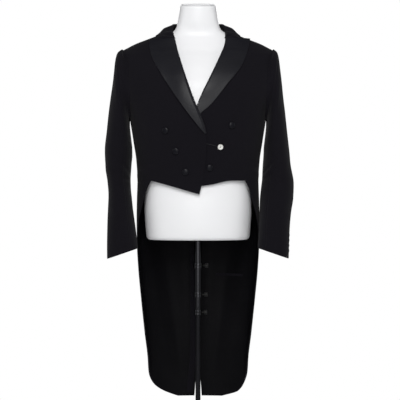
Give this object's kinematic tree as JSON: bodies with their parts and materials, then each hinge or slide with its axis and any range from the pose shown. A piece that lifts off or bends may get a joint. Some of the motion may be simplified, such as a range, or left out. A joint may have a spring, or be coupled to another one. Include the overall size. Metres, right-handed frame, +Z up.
{
  "type": "white tie tailcoat on a limbless dress form",
  "caption": "Black tailcoat with satin peaked lapels, cut-away waist and split tails, worn by a white limbless dress form on a round-based telescoping stand.",
  "frame": {"origin": "on the floor under the mast, the centre of the base plate's underside", "axes": "+Z up along the mast, -Y the way the coat's front faces, +X toward the wearer's left"},
  "size_m": [0.563, 0.38, 1.5947],
  "materials": {
    "wool": "black barathea wool, matt with a faint sheen",
    "satin": "black ribbed silk satin, soft highlights",
    "lining": "black satin lining, smooth",
    "white_button": "white, polished",
    "white_form": "white gloss lacquer",
    "chrome": "bright chrome plate",
    "dark_steel": "dark grey satin steel",
    "black_plastic": "black, fine matt"
  },
  "bodies": {
    "stand": {"base_plate": "dark_steel", "base_socket": "dark_steel", "mast_rod": "dark_steel"},
    "mast_middle_body": {"mast_middle": "chrome", "middle_collar": "chrome", "middle_knob": "black_plastic"},
    "mast_upper_body": {"mast_upper": "chrome", "upper_collar": "chrome", "upper_knob": "black_plastic"},
    "dressed_form": {"back_left": "wool", "back_right": "wool", "collar": "wool", "cuff_button_left_1": "satin", "cuff_button_left_2": "satin", "cuff_button_left_3": "satin", "cuff_button_left_4": "satin", "cuff_button_right_1": "satin", "cuff_button_right_2": "satin", "cuff_button_right_3": "satin", "cuff_button_right_4": "satin", "forepart_left": "wool", "forepart_right": "wool", "form_collar": "chrome", "form_flange": "black_plastic", "form_knob": "black_plastic", "form_sleeve": "chrome", "form_torso": "white_form", "front_button_left_lower": "satin", "front_button_left_upper": "satin", "front_button_right_lower": "satin", "front_button_right_middle": "satin", "front_button_right_upper": "satin", "lapel_left": "satin", "lapel_right": "satin", "link_button": "white_button", "link_cord": "wool", "neck_cap": "white_form", "pocket_mouth_left": "wool", "side_body_left": "wool", "side_body_right": "wool", "skirt_left": "wool", "skirt_right": "wool", "tail_lining_left": "lining", "tail_lining_right": "lining", "top_sleeve_left": "wool", "top_sleeve_right": "wool", "under_sleeve_left": "wool", "under_sleeve_right": "wool", "vent_facing_right": "wool", "waist_button_left": "satin", "waist_button_right": "satin"}
  },
  "joints": [
    {"name": "middle_slide", "type": "slide", "parent": "stand", "child": "mast_middle_body", "axis": [0, 0, 1], "range_m": [-0.2, 0.1]},
    {"name": "upper_slide", "type": "slide", "parent": "mast_middle_body", "child": "mast_upper_body", "axis": [0, 0, 1], "range_m": [-0.035, 0.12]},
    {"name": "form_swivel", "type": "hinge", "parent": "mast_upper_body", "child": "dressed_form", "pos_m": [0, 0, 0.8], "axis": [0, 0, 1], "continuous": true}
  ]
}
